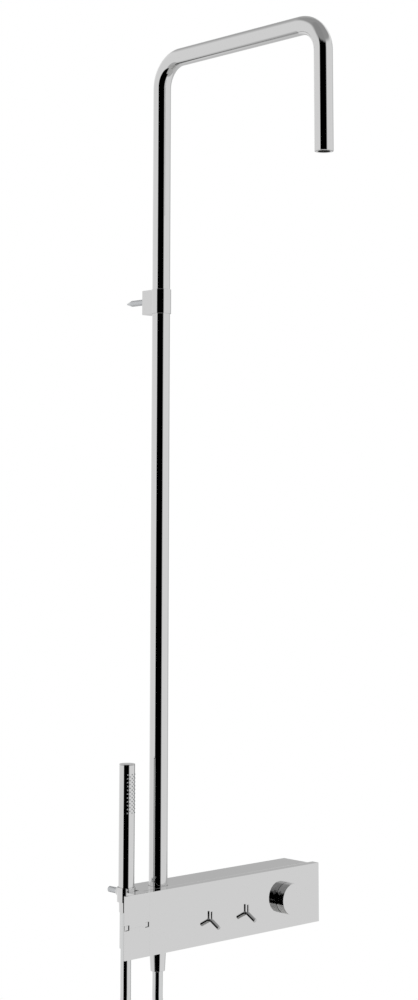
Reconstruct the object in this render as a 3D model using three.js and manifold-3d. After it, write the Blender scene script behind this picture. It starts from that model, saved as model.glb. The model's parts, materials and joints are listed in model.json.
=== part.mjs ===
// Wall-mounted thermostatic shower column: a slim mixer with a mirror panel, a riser that bends
// over into a fixed overhead arm, and a stick hand shower on a flexible hose.
// Millimetres, +Z up. The wall is the plane Y = 0 and the user stands at -Y. The origin is on the
// wall, on the column's centre line and at half the mixer's height.

import * as THREE from 'three';
import { mergeVertices } from 'three/addons/utils/BufferGeometryUtils.js';
import Module from 'manifold-3d';

const wasm = await Module();
wasm.setup();

// ---------------------------------------------------------------- driving dimensions

// Clearances
const GAP = 0.3; // between pieces that touch
const SLIP = 0.5; // around a piece that slides or turns

// Column tubes
const TUBE_DIAMETER = 25;
const TUBE_WALL = 1.5;
const TUBE_OFFSET = 30; // column centre line to the wall
const ARM_HEIGHT = 1168; // arm centre line above the mixer's middle
const ARM_REACH = 315; // riser centre line to drop centre line
const BEND_RADIUS = 40; // on the tube's centre line
const DROP_LENGTH = 174; // arm centre line to the open end of the drop

// Wall bracket
const BRACKET_HEIGHT = 824; // its middle above the mixer's middle
const BRACKET_TALL = 34;
const BRACKET_WIDE = 18;
const BRACKET_WALL = 1.2;
const HANGER_DIAMETER = 8.6;
const HANGER_IN_WALL = 42;
const HANGER_IN_BRACKET = 13;
const HANGER_RISE = 2; // hanger bolt above the bracket's middle

// Mixer
const PANEL_LEFT = 85; // panel's left end to the column's centre line
const PANEL_RIGHT = 279;
const PANEL_HEIGHT = 80;
const PANEL_THICK = 12;
const PANEL_SKIN = 2; // the panel left of the casing, in front of the hand shower
const MIXER_DEPTH = 60; // wall to the front of the panel
const CASING_LEFT = 42;
const CASING_RIGHT = 270;
const CASING_WALL = 1.5;
const BACK_PLATE_THICK = 2;
const INLET_SPACING = 150;
const COLD_INLET_X = 172;
const POST_DIAMETER = 9;
const POST_INSET = 12; // post centre from the casing's outer corner

// Water passages
const BODY_RADIUS = 13; // main bar of the manifold
const BODY_DEPTH = 26; // main bar's centre line to the wall
const WATERWAY_RADIUS = 8;
const INLET_THREAD_RADIUS = 10.4; // G 1/2
const INLET_BORE_RADIUS = 7.5;
const INLET_IN_WALL = 14;
const HEAD_BUSH_RADIUS = 8.5; // bore of the shower-head socket

// Controls, all turning about lines parallel to Y
const KNOB_X = 214;
const KNOB_DIAMETER = 42;
const KNOB_LENGTH = 14;
const KNOB_WALL = 3.5;
const BUTTON_ANGLE = 152; // degrees round the knob from +X towards +Z
const BUTTON_RADIUS = 2.2;
const BUTTON_DEPTH = 5; // from the panel
const BUTTON_PROUD = 0.2;
const BUTTON_TRAVEL = 2;
const HANDLE_X = [67.5, 135.5];
const HANDLE_Z = -10.3; // turning line of the flow handles
const HANDLE_STANDOFF = 3.2; // panel to the upright arm's centre line
const HANDLE_ROD_RADIUS = 2.7;
const HANDLE_UPRIGHT = 12; // length of the arm along the panel
const HANDLE_LEVER = 16; // length of the arm that the user holds
const HANDLE_DROOP = 28; // degrees that it points below straight out
const FLOW_SPINDLE_RADIUS = 1.25;
const SPINDLE_RADIUS = 3;

// Hand shower and its holder
const STICK_X = -56;
const STICK_DIAMETER = 21;
const STICK_WALL = 1.8;
const STICK_TOP = 202;
const NOZZLE_LOW = 137;
const NOZZLE_HIGH = 190;
const NOZZLE_HALF_ANGLE = 52; // degrees each side of the user's direction
const STICK_NUT_LENGTH = 15.3;
const HOLDER_LOW = 26.5;
const HOLDER_LIP = 1.5; // ledge that the hand shower stands on
const HOLDER_HIGH = 44.7;
const HOLDER_WALL = 1.2;
const HOLDER_PLATE = 2.7; // thickness of the strap and foot behind the panel
const HOLDER_STUD_HEIGHT = 37.5;
const HOLDER_STUD_IN_WALL = 6.5;
const STRAP_LEFT = -79.5; // middle of the left strap bolt
const STRAP_RIGHT = -45.5;
const STRAP_BOLT = 6;

// Hose
const HOSE_DIAMETER = 14;
const NUT_TOP_RADIUS = 11.2;
const NUT_BOTTOM_RADIUS = 9.6;
const MIXER_NUT_LENGTH = 28;
const COIL_X = 15.5;
const COIL_Z = -249;
const COIL_RADIUS = 71.5; // to the middle of the hose
const COIL_BACK = -4; // Y extent of the coiled turns
const COIL_FRONT = -56.6;
const HANDSET_RUN = [
  [-56, -30, 12.7],
  [-56, -30, -20],
  [-56, -30, -60],
  [-56, -30, -100],
  [-56, -27.5, -140],
  [-56, -20.5, -180],
  [-56, -15.5, -203.3],
];
const MIXER_RUN = [
  [0, -30, -69.3],
  [0, -30, -85],
  [0, -30, -105],
  [0.8, -32.5, -121],
  [4.6, -36.5, -138],
  [11.3, -41, -152.9],
  [19.6, -44.5, -164.4],
];

// Facets round a full turn
const SMOOTH = 32;
const ROUND = 20;
const SMALL = 12;

// ---------------------------------------------------------------- materials

const finish = (color, roughness, metalness) =>
  new THREE.MeshStandardMaterial({ color, roughness, metalness });
const CHROME = finish(0xcfd0d0, 0.06, 1);
const BRASS = finish(0xb89a55, 0.35, 1);
const STEEL = finish(0xa8aaac, 0.35, 1);
const RUBBER = finish(0x1d1d1f, 0.8, 0);
const WHITE_PLASTIC = finish(0xe4e5e2, 0.45, 0);
const GREY_PLASTIC = finish(0x8b8e90, 0.5, 0);
const SILICONE = finish(0xb9bcbd, 0.6, 0);
const HOSE_FINISH = finish(0xc6c8c9, 0.2, 0.8);

// ---------------------------------------------------------------- shaping helpers

/** A manifold solid from a closed three.js geometry. */
function solid(geometry) {
  const bare = geometry.clone();
  bare.deleteAttribute('normal');
  bare.deleteAttribute('uv');
  const merged = mergeVertices(bare, 1e-3);
  return new wasm.Manifold(
    new wasm.Mesh({
      numProp: 3,
      vertProperties: merged.attributes.position.array,
      triVerts: new Uint32Array(merged.index.array),
    }),
  );
}

/** Back from a manifold solid to a three.js geometry. */
function shaped(manifold) {
  const mesh = manifold.getMesh();
  const geometry = new THREE.BufferGeometry();
  geometry.setAttribute('position', new THREE.BufferAttribute(mesh.vertProperties, 3));
  geometry.setIndex(new THREE.BufferAttribute(mesh.triVerts, 1));
  return geometry;
}

/** The first geometry with the others joined on. */
const join = (first, ...rest) =>
  shaped(rest.reduce((sum, next) => sum.add(solid(next)), solid(first)));

/** The first geometry with the others cut away. */
const cut = (first, ...rest) =>
  shaped(rest.reduce((left, next) => left.subtract(solid(next)), solid(first)));

/**
 * A turned piece from its half section [[radius, height], ...], which starts and ends on the axis
 * or closes on itself. The axis is Z, or runs towards the user (Y negative) or along X.
 */
function turned(section, facets = ROUND, axis = 'z') {
  const outline = section.map(([radius, height]) => new THREE.Vector2(radius, height));
  if (THREE.ShapeUtils.area(outline) < 0) outline.reverse();
  const onAxis = outline[0].x === 0 && outline[outline.length - 1].x === 0;
  if (!onAxis) outline.push(outline[0]);
  const geometry = new THREE.LatheGeometry(outline, facets);
  if (axis === 'z') geometry.rotateX(Math.PI / 2);
  if (axis === 'front') geometry.rotateX(Math.PI);
  if (axis === 'x') geometry.rotateZ(-Math.PI / 2);
  return geometry;
}

/** Half section of a plain ring or, with no bore, of a disc. */
const ring = (bore, outer, low, high) =>
  bore > 0
    ? [[bore, low], [outer, low], [outer, high], [bore, high]]
    : [[0, low], [outer, low], [outer, high], [0, high]];

/** A box from its lowest to its highest corner. */
function block(low, high) {
  const [x, y, z] = high.map((value, i) => value - low[i]);
  return new THREE.BoxGeometry(x, y, z).translate(...low.map((value, i) => (value + high[i]) / 2));
}

/** A path of chosen stations: each [point, direction]. Its sections sit exactly on them. */
class StationPath extends THREE.Curve {
  constructor(stations) {
    super();
    this.stations = stations;
    this.steps = stations.length - 1;
  }

  station(t) {
    return this.stations[Math.round(t * this.steps)];
  }

  getPointAt(t) {
    return this.station(t)[0].clone();
  }

  getTangentAt(t) {
    return this.station(t)[1].clone();
  }
}

/** A tube or, with no bore, a rod along a path with one section per step. */
function alongPath(path, steps, outer, bore, facets) {
  const section = new THREE.Shape();
  const circle = (target, radius) => {
    for (let i = 0; i < facets; i += 1) {
      const angle = (2 * Math.PI * i) / facets;
      const move = i === 0 ? 'moveTo' : 'lineTo';
      target[move](radius * Math.cos(angle), radius * Math.sin(angle));
    }
    target.closePath();
  };
  circle(section, outer);
  if (bore > 0) {
    const hole = new THREE.Path();
    circle(hole, bore);
    section.holes.push(hole);
  }
  return new THREE.ExtrudeGeometry(section, { steps, extrudePath: path });
}

const column = new THREE.Group();

/** Adds one named piece, placed by the position of its own origin. */
function piece(name, geometry, material, position = [0, 0, 0]) {
  const mesh = new THREE.Mesh(geometry, material);
  mesh.name = name;
  mesh.position.set(...position);
  column.add(mesh);
  return mesh;
}

// ---------------------------------------------------------------- riser, arm and drop

const tubeRadius = TUBE_DIAMETER / 2;
const tubeBore = tubeRadius - TUBE_WALL;
const casingTop = PANEL_HEIGHT / 2;
const casingInside = casingTop - CASING_WALL;
const panelBack = MIXER_DEPTH - PANEL_THICK;
const skinBack = MIXER_DEPTH - PANEL_SKIN;
const riserSeat = casingInside - 17; // lower end of the riser inside the mixer
const joinSleeve = 45; // length of the sleeve where riser and arm meet

function riserTube() {
  const section = ring(tubeBore, tubeRadius, riserSeat, BRACKET_HEIGHT - GAP / 2);
  piece('riser_tube', turned(section, SMOOTH), CHROME, [0, -TUBE_OFFSET, 0]);
}

/** Stations of the arm: up the riser, over two quarter bends and down the drop. */
function armStations() {
  const bendSteps = 8;
  const stations = [];
  const add = (y, z, dy, dz) =>
    stations.push([new THREE.Vector3(0, y, z), new THREE.Vector3(0, dy, dz)]);
  add(0, BRACKET_HEIGHT + GAP / 2, 0, 1);
  for (let i = 0; i <= bendSteps; i += 1) {
    const a = (Math.PI / 2) * (i / bendSteps);
    add(
      -BEND_RADIUS * (1 - Math.cos(a)),
      ARM_HEIGHT - BEND_RADIUS * (1 - Math.sin(a)),
      -Math.sin(a),
      Math.cos(a),
    );
  }
  for (let i = 0; i <= bendSteps; i += 1) {
    const a = (Math.PI / 2) * (i / bendSteps);
    add(
      -ARM_REACH + BEND_RADIUS * (1 - Math.sin(a)),
      ARM_HEIGHT - BEND_RADIUS * (1 - Math.cos(a)),
      -Math.cos(a),
      -Math.sin(a),
    );
  }
  add(-ARM_REACH, ARM_HEIGHT - DROP_LENGTH, 0, -1);
  return stations;
}

function armTube() {
  const path = new StationPath(armStations());
  const geometry = alongPath(path, path.steps, tubeRadius, tubeBore, ROUND);
  piece('arm_tube', geometry, CHROME, [0, -TUBE_OFFSET, 0]);
}

function tubeSleeve() {
  const outer = tubeBore - GAP;
  const section = [
    [outer - 1.6, -joinSleeve / 2],
    [outer, -joinSleeve / 2],
    [outer, joinSleeve / 2],
    [outer - 1.6, joinSleeve / 2],
  ];
  piece('tube_sleeve', turned(section), BRASS, [0, -TUBE_OFFSET, BRACKET_HEIGHT]);
}

/** Threaded bush in the drop's open end, where a shower head screws in. */
function headBush() {
  const outer = tubeBore - GAP;
  const dropEnd = ARM_HEIGHT - DROP_LENGTH;
  const at = [0, -TUBE_OFFSET - ARM_REACH, dropEnd];
  const bushLength = 20;
  const seat = 14; // depth of the socket below the limiter's shelf
  const bush = [
    [HEAD_BUSH_RADIUS, 0],
    [outer, 0],
    [outer, bushLength],
    [HEAD_BUSH_RADIUS - 2.5, bushLength],
    [HEAD_BUSH_RADIUS - 2.5, seat],
    [HEAD_BUSH_RADIUS, seat],
  ];
  piece('head_bush', turned(bush), CHROME, at);
  const limiter = ring(1.5, HEAD_BUSH_RADIUS - GAP, seat - 3, seat - GAP);
  piece('flow_limiter', turned(limiter, ROUND), WHITE_PLASTIC, at);
}

// ---------------------------------------------------------------- wall bracket

function wallBracket() {
  const low = BRACKET_HEIGHT - BRACKET_TALL / 2;
  const high = BRACKET_HEIGHT + BRACKET_TALL / 2;
  const collar = tubeRadius + GAP + BRACKET_WALL;
  const boltHeight = BRACKET_HEIGHT + HANGER_RISE;
  const lockRadius = 2.5;
  const lockDepth = HANGER_IN_BRACKET / 2;
  const body = cut(
    join(
      block([-BRACKET_WIDE / 2, -TUBE_OFFSET, low], [BRACKET_WIDE / 2, 0, high]),
      turned(ring(0, collar, low, high), SMOOTH).translate(0, -TUBE_OFFSET, 0),
    ),
    turned(ring(0, tubeRadius + GAP, low - 1, high + 1), SMOOTH).translate(0, -TUBE_OFFSET, 0),
    turned(ring(0, HANGER_DIAMETER / 2 + GAP, -1, HANGER_IN_BRACKET + GAP), ROUND, 'front')
      .translate(0, 0, boltHeight),
    turned(ring(0, lockRadius + GAP, low - 1, boltHeight), SMALL).translate(0, -lockDepth, 0),
  );
  piece('wall_bracket', body, CHROME);

  const radius = HANGER_DIAMETER / 2;
  const pointLength = 10;
  const hanger = [
    [0, -HANGER_IN_WALL],
    [1, -HANGER_IN_WALL],
    [radius, -HANGER_IN_WALL + pointLength],
    [radius, HANGER_IN_BRACKET],
    [0, HANGER_IN_BRACKET],
  ];
  piece('hanger_bolt', turned(hanger, ROUND, 'front'), STEEL, [0, 0, boltHeight]);
  const lock = ring(0, lockRadius, low + 1, boltHeight - radius - GAP);
  piece('bracket_lock_screw', turned(lock, SMALL), STEEL, [0, -lockDepth, 0]);
}

// ---------------------------------------------------------------- mixer shell

const innerPost = {
  left: -CASING_LEFT + POST_INSET,
  right: CASING_RIGHT - POST_INSET,
  height: casingTop - POST_INSET,
};
const posts = [
  ['upper_left', innerPost.left, innerPost.height],
  ['upper_right', innerPost.right, innerPost.height],
  ['lower_left', innerPost.left, -innerPost.height],
  ['lower_right', innerPost.right, -innerPost.height],
];
const postScrewRadius = 2.5;
const screwInPanel = 8; // depth of the panel's blind holes
const hotInletX = COLD_INLET_X - INLET_SPACING;
const inlets = [['hot', hotInletX], ['cold', COLD_INLET_X]];
const unionRadius = INLET_THREAD_RADIUS + 6;
const headworkRadius = 9;
const thermostatRadius = 14;
const outletRadius = 9;
const studRadius = 3.8;
const strapBolts = [['left', STRAP_LEFT], ['right', STRAP_RIGHT]];

function frontPanel() {
  const plate = join(
    block([-CASING_LEFT, -MIXER_DEPTH, -casingTop], [PANEL_RIGHT, -panelBack, casingTop]),
    block([-PANEL_LEFT, -MIXER_DEPTH, -casingTop], [-CASING_LEFT + 1, -skinBack, casingTop]),
  );
  const through = (x, z, radius, facets) =>
    turned(ring(0, radius, panelBack - 1, MIXER_DEPTH + 1), facets, 'front').translate(x, 0, z);
  const strapSlot = block(
    [-PANEL_LEFT - 1, -MIXER_DEPTH - 1, -STRAP_BOLT / 2 - GAP],
    [-PANEL_LEFT + 2, -MIXER_DEPTH + 2, STRAP_BOLT / 2 + GAP],
  );
  const half = STRAP_BOLT / 2 + GAP;
  const boltHoles = strapBolts.map(([, x]) =>
    block([x - half, -MIXER_DEPTH - 1, -half], [x + half, -panelBack + 1, half]));
  const screwHoles = posts.map(([, x, z]) =>
    turned(
      ring(0, postScrewRadius + GAP, panelBack - 1, panelBack + screwInPanel),
      SMALL,
      'front',
    ).translate(x, 0, z));
  piece(
    'front_panel',
    cut(
      plate,
      through(KNOB_X, 0, SPINDLE_RADIUS + 3, ROUND),
      ...HANDLE_X.map((x) => through(x, HANDLE_Z, FLOW_SPINDLE_RADIUS + SLIP, SMALL)),
      strapSlot,
      ...boltHoles,
      ...screwHoles,
    ),
    CHROME,
  );
}

function mixerCasing() {
  const outer = block(
    [-CASING_LEFT, -panelBack + GAP, -casingTop],
    [CASING_RIGHT, 0, casingTop],
  );
  const hollow = block(
    [-CASING_LEFT + CASING_WALL, -panelBack - 1, -casingInside],
    [CASING_RIGHT - CASING_WALL, 1, casingInside],
  );
  const riserHole = turned(ring(0, tubeRadius + SLIP, 0, casingTop + 1), SMOOTH);
  const outletHole = turned(ring(0, outletRadius + SLIP, -casingTop - 1, 0), ROUND);
  piece(
    'mixer_casing',
    cut(
      outer,
      hollow,
      riserHole.translate(0, -TUBE_OFFSET, 0),
      outletHole.translate(0, -TUBE_OFFSET, 0),
    ),
    CHROME,
  );
}

/** Back plate with the four tapped posts that hold the panel off it. */
function backPlate() {
  const plate = block(
    [-CASING_LEFT + CASING_WALL + GAP, -BACK_PLATE_THICK, -casingInside + GAP],
    [CASING_RIGHT - CASING_WALL - GAP, 0, casingInside - GAP],
  );
  const hole = (radius, facets) =>
    turned(ring(0, radius, -1, BACK_PLATE_THICK + 1), facets, 'front');
  const spacers = posts.map(([, x, z]) =>
    turned(ring(0, POST_DIAMETER / 2, BACK_PLATE_THICK / 2, panelBack - GAP), SMALL, 'front')
      .translate(x, 0, z));
  const screwWay = (x, z) =>
    turned(ring(0, postScrewRadius + GAP, -1, panelBack), SMALL, 'front').translate(x, 0, z);
  piece(
    'back_plate',
    cut(
      join(plate, ...spacers),
      ...inlets.map(([, x]) => hole(INLET_THREAD_RADIUS + SLIP, ROUND).translate(x, 0, 0)),
      ...posts.map(([, x, z]) => screwWay(x, z)),
    ),
    STEEL,
  );
}

/** Long screws that run through the back plate's posts into the panel. */
function panelScrews() {
  const headSunk = 0.4;
  for (const [place, x, z] of posts) {
    const screw = ring(0, postScrewRadius, headSunk, panelBack + screwInPanel - 1);
    piece(`panel_screw_${place}`, turned(screw, SMALL, 'front'), STEEL, [x, 0, z]);
  }
}

// ---------------------------------------------------------------- water body and its unions

const bossRadius = tubeRadius + 2.5;
const bossTop = riserSeat + 7;
const unionFlange = 3;
const inletBossEnd = 10; // inlet boss's end face to the wall
const headworkSeat = BODY_DEPTH + 4;
const bossFront = panelBack - 2;
const sealThick = 3;
const nippleTop = -6; // upper end of the hose outlet's bore

function mixerBody() {
  const pastBosses = 6;
  const barLeft = -bossRadius - pastBosses;
  const barRight = KNOB_X + thermostatRadius + pastBosses;
  const bar = turned(ring(0, BODY_RADIUS, barLeft, barRight), ROUND, 'x')
    .translate(0, -BODY_DEPTH, 0);
  const upright = turned(ring(0, bossRadius, -bossTop, bossTop), ROUND)
    .translate(0, -TUBE_OFFSET, 0);
  const inletBosses = inlets.map(([, x]) =>
    turned(ring(0, INLET_THREAD_RADIUS + 2.4, inletBossEnd, BODY_DEPTH), ROUND, 'front')
      .translate(x, 0, 0));
  const headworkBosses = HANDLE_X.map((x) =>
    turned(ring(0, headworkRadius + 3, BODY_DEPTH, bossFront), ROUND, 'front')
      .translate(x, 0, HANDLE_Z));
  const thermostatBoss = turned(
    ring(0, thermostatRadius + 3, BODY_DEPTH - BODY_RADIUS, bossFront),
    ROUND,
    'front',
  ).translate(KNOB_X, 0, 0);
  const riserSocket = turned(
    ring(0, tubeRadius + GAP, riserSeat - sealThick, bossTop + 1),
    SMOOTH,
  ).translate(0, -TUBE_OFFSET, 0);
  const riserWay = turned(ring(0, WATERWAY_RADIUS, 0, bossTop), ROUND)
    .translate(0, -TUBE_OFFSET, 0);
  const hoseWay = turned(ring(0, outletRadius + GAP, -bossTop - 1, nippleTop), ROUND)
    .translate(0, -TUBE_OFFSET, 0);
  const inletWays = inlets.map(([, x]) =>
    turned(ring(0, INLET_BORE_RADIUS, inletBossEnd - 1, BODY_DEPTH), ROUND, 'front')
      .translate(x, 0, 0));
  const headworkWays = HANDLE_X.map((x) =>
    turned(ring(0, headworkRadius + GAP, headworkSeat, panelBack), ROUND, 'front')
      .translate(x, 0, HANDLE_Z));
  const thermostatWay = turned(
    ring(0, thermostatRadius + GAP, headworkSeat, panelBack),
    ROUND,
    'front',
  ).translate(KNOB_X, 0, 0);
  piece(
    'mixer_body',
    cut(
      join(bar, upright, ...inletBosses, ...headworkBosses, thermostatBoss),
      riserSocket,
      riserWay,
      hoseWay,
      ...inletWays,
      ...headworkWays,
      thermostatWay,
    ),
    BRASS,
  );
}

function riserFixing() {
  const sealLow = riserSeat - sealThick + GAP;
  const seal = ring(WATERWAY_RADIUS + 1, tubeRadius - GAP, sealLow, riserSeat - GAP);
  piece('riser_seal', turned(seal), RUBBER, [0, -TUBE_OFFSET, 0]);
  const nut = ring(tubeRadius + GAP, bossRadius + 2, bossTop + GAP, casingInside - GAP);
  piece('riser_nut', turned(nut), BRASS, [0, -TUBE_OFFSET, 0]);
}

/** One supply union: tail with its flange, nut and filter. */
function supplyUnions() {
  for (const [supply, x] of inlets) {
    const flangeFace = inletBossEnd - GAP;
    const shoulder = flangeFace - unionFlange;
    const tail = [
      [INLET_BORE_RADIUS, -INLET_IN_WALL],
      [INLET_THREAD_RADIUS, -INLET_IN_WALL],
      [INLET_THREAD_RADIUS, shoulder],
      [INLET_THREAD_RADIUS + 2.4, shoulder],
      [INLET_THREAD_RADIUS + 2.4, flangeFace],
      [INLET_BORE_RADIUS, flangeFace],
    ];
    piece(`${supply}_inlet_tail`, turned(tail, ROUND, 'front'), BRASS, [x, 0, 0]);
    const nutBore = INLET_THREAD_RADIUS + 2.4 + GAP;
    const nut = [
      [INLET_THREAD_RADIUS + GAP, BACK_PLATE_THICK + 2 * GAP],
      [unionRadius, BACK_PLATE_THICK + 2 * GAP],
      [unionRadius, BODY_DEPTH - BODY_RADIUS - GAP],
      [nutBore, BODY_DEPTH - BODY_RADIUS - GAP],
      [nutBore, shoulder - GAP],
      [INLET_THREAD_RADIUS + GAP, shoulder - GAP],
    ];
    piece(`${supply}_union_nut`, turned(nut, ROUND, 'front'), BRASS, [x, 0, 0]);
    const filter = ring(INLET_BORE_RADIUS - 1.8, INLET_BORE_RADIUS - GAP, -1, flangeFace - 1);
    piece(`${supply}_inlet_filter`, turned(filter, SMALL, 'front'), STEEL, [x, 0, 0]);
  }
}

// ---------------------------------------------------------------- controls

const knobBack = MIXER_DEPTH + SLIP;
const knobFront = knobBack + KNOB_LENGTH - SLIP;
const knobRadius = KNOB_DIAMETER / 2;
const knobFace = 3; // thickness of the knob's front disc
const grubRadius = 1.5;
const knobGrubDepth = MIXER_DEPTH + 5;

function thermostat() {
  const cartridge = [
    [0, headworkSeat + GAP],
    [thermostatRadius, headworkSeat + GAP],
    [thermostatRadius, panelBack - GAP],
    [0, panelBack - GAP],
  ];
  piece('thermostatic_cartridge', turned(cartridge, ROUND, 'front'), WHITE_PLASTIC, [KNOB_X, 0, 0]);
  const spindle = ring(0, SPINDLE_RADIUS, panelBack + GAP, knobFront - knobFace - GAP);
  piece('temperature_spindle', turned(spindle, SMALL, 'front'), BRASS, [KNOB_X, 0, 0]);
  const stop = ring(SPINDLE_RADIUS + SLIP, SPINDLE_RADIUS + 2.5, panelBack + GAP, MIXER_DEPTH - GAP);
  piece('temperature_stop_ring', turned(stop, SMALL, 'front'), GREY_PLASTIC, [KNOB_X, 0, 0]);
}

function temperatureKnob() {
  const hub = SPINDLE_RADIUS + 5;
  const shell = turned(
    [
      [SPINDLE_RADIUS + GAP, knobBack],
      [hub, knobBack],
      [hub, knobFront - knobFace],
      [knobRadius - KNOB_WALL, knobFront - knobFace],
      [knobRadius - KNOB_WALL, knobBack],
      [knobRadius, knobBack],
      [knobRadius, knobFront],
      [0, knobFront],
      [0, knobFront - knobFace],
      [SPINDLE_RADIUS + GAP, knobFront - knobFace],
    ],
    SMOOTH,
    'front',
  );
  const angle = THREE.MathUtils.degToRad(BUTTON_ANGLE);
  const buttonHole = turned(
    ring(0, BUTTON_RADIUS + SLIP / 2, knobRadius - KNOB_WALL - 1, knobRadius + 1),
    SMALL,
    'x',
  ).rotateY(-angle).translate(0, -MIXER_DEPTH - BUTTON_DEPTH, 0);
  const grubHole = turned(ring(0, grubRadius + GAP, -knobRadius - 1, -SPINDLE_RADIUS), SMALL)
    .translate(0, -knobGrubDepth, 0);
  piece('temperature_knob', cut(shell, buttonHole, grubHole), CHROME, [KNOB_X, 0, 0]);
  const grub = ring(0, grubRadius, -hub - 2, -SPINDLE_RADIUS - GAP);
  piece('knob_grub_screw', turned(grub, SMALL), STEEL, [KNOB_X, -knobGrubDepth, 0]);

  // The safety button slides towards the knob's centre; its head stands inside the wall.
  const headHeight = 1.5;
  const headRadius = BUTTON_RADIUS + 1;
  const travelEnd = Math.sqrt((knobRadius - KNOB_WALL) ** 2 - headRadius ** 2) - 2 * GAP;
  const button = turned(
    [
      [0, travelEnd - headHeight],
      [headRadius, travelEnd - headHeight],
      [headRadius, travelEnd],
      [BUTTON_RADIUS, travelEnd],
      [BUTTON_RADIUS, knobRadius + BUTTON_PROUD],
      [0, knobRadius + BUTTON_PROUD],
    ],
    SMALL,
    'x',
  );
  const at = [KNOB_X, -MIXER_DEPTH - BUTTON_DEPTH, 0];
  piece('safety_button', button.rotateY(-angle), CHROME, at);
  const pressed = travelEnd - headHeight - BUTTON_TRAVEL;
  const spring = turned(
    ring(BUTTON_RADIUS - 0.8, BUTTON_RADIUS, hub + GAP, pressed - GAP),
    SMALL,
    'x',
  );
  piece('button_spring', spring.rotateY(-angle), STEEL, at);
}

/** Half section of a ball, from its lowest to its highest point. */
function ball(radius, parts) {
  const section = [];
  for (let i = 0; i <= parts; i += 1) {
    const a = Math.PI * (i / parts - 0.5);
    const onAxis = i === 0 || i === parts;
    section.push([onAxis ? 0 : radius * Math.cos(a), radius * Math.sin(a)]);
  }
  return section;
}

/** Quarter-turn headworks with their spindles and the bent levers on them. */
function flowControls() {
  const rodLine = MIXER_DEPTH + HANDLE_STANDOFF;
  const upright = turned(ring(0, HANDLE_ROD_RADIUS, 0, HANDLE_UPRIGHT), ROUND);
  const lever = turned(ring(0, HANDLE_ROD_RADIUS, 0, HANDLE_LEVER), ROUND, 'front')
    .rotateX(THREE.MathUtils.degToRad(HANDLE_DROOP));
  const elbow = turned(ball(HANDLE_ROD_RADIUS, 8), ROUND);
  const spindleWay = turned(
    ring(0, FLOW_SPINDLE_RADIUS + GAP, -HANDLE_STANDOFF - 1, GAP),
    SMALL,
    'front',
  );
  const leverGrubRadius = 0.75;
  const grubTop = -FLOW_SPINDLE_RADIUS - GAP;
  const grubLow = -HANDLE_ROD_RADIUS + 0.1;
  const grubHole = turned(
    ring(0, leverGrubRadius + GAP, -2 * HANDLE_ROD_RADIUS, -FLOW_SPINDLE_RADIUS),
    SMALL,
  );
  const handle = cut(join(upright, lever, elbow), spindleWay, grubHole);
  const headwork = ring(0, headworkRadius, headworkSeat + GAP, panelBack - GAP);
  const spindle = ring(0, FLOW_SPINDLE_RADIUS, panelBack + GAP, rodLine);
  const grub = ring(0, leverGrubRadius, grubLow, grubTop);
  HANDLE_X.forEach((x, i) => {
    const number = i + 1;
    const at = [x, 0, HANDLE_Z];
    const onRod = [x, -rodLine, HANDLE_Z];
    piece(`flow_headwork_${number}`, turned(headwork, ROUND, 'front'), BRASS, at);
    piece(`flow_spindle_${number}`, turned(spindle, SMALL, 'front'), STEEL, at);
    piece(`flow_handle_${number}`, handle.clone(), CHROME, onRod);
    piece(`handle_grub_screw_${number}`, turned(grub, SMALL), STEEL, onRod);
  });
}

// ---------------------------------------------------------------- hand shower and holder

const stickRadius = STICK_DIAMETER / 2;
const stickAt = [STICK_X, -TUBE_OFFSET, 0];
const stickBottom = HOLDER_LOW + HOLDER_LIP + GAP;
const stickNutRadius = stickRadius - 0.8;
const spigotRadius = 6.5;
const spigotLength = 8;
const floorThick = 4;
const capPlug = 6;
const capRim = 1; // the cap's rim above the tube
const hoseWay = 4; // water way through the hand shower's spigot and the hose nuts

/** The part of a turned ring that lies within an angle each side of the user's direction. */
function sector(bore, outer, low, high, halfAngle) {
  const shape = new THREE.Shape();
  const half = THREE.MathUtils.degToRad(halfAngle);
  const towardsUser = -Math.PI / 2;
  shape.absarc(0, 0, outer, towardsUser - half, towardsUser + half, false);
  shape.absarc(0, 0, bore, towardsUser + half, towardsUser - half, true);
  return new THREE.ExtrudeGeometry(shape, {
    depth: high - low,
    bevelEnabled: false,
    curveSegments: SMALL,
  }).translate(0, 0, low);
}

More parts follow.
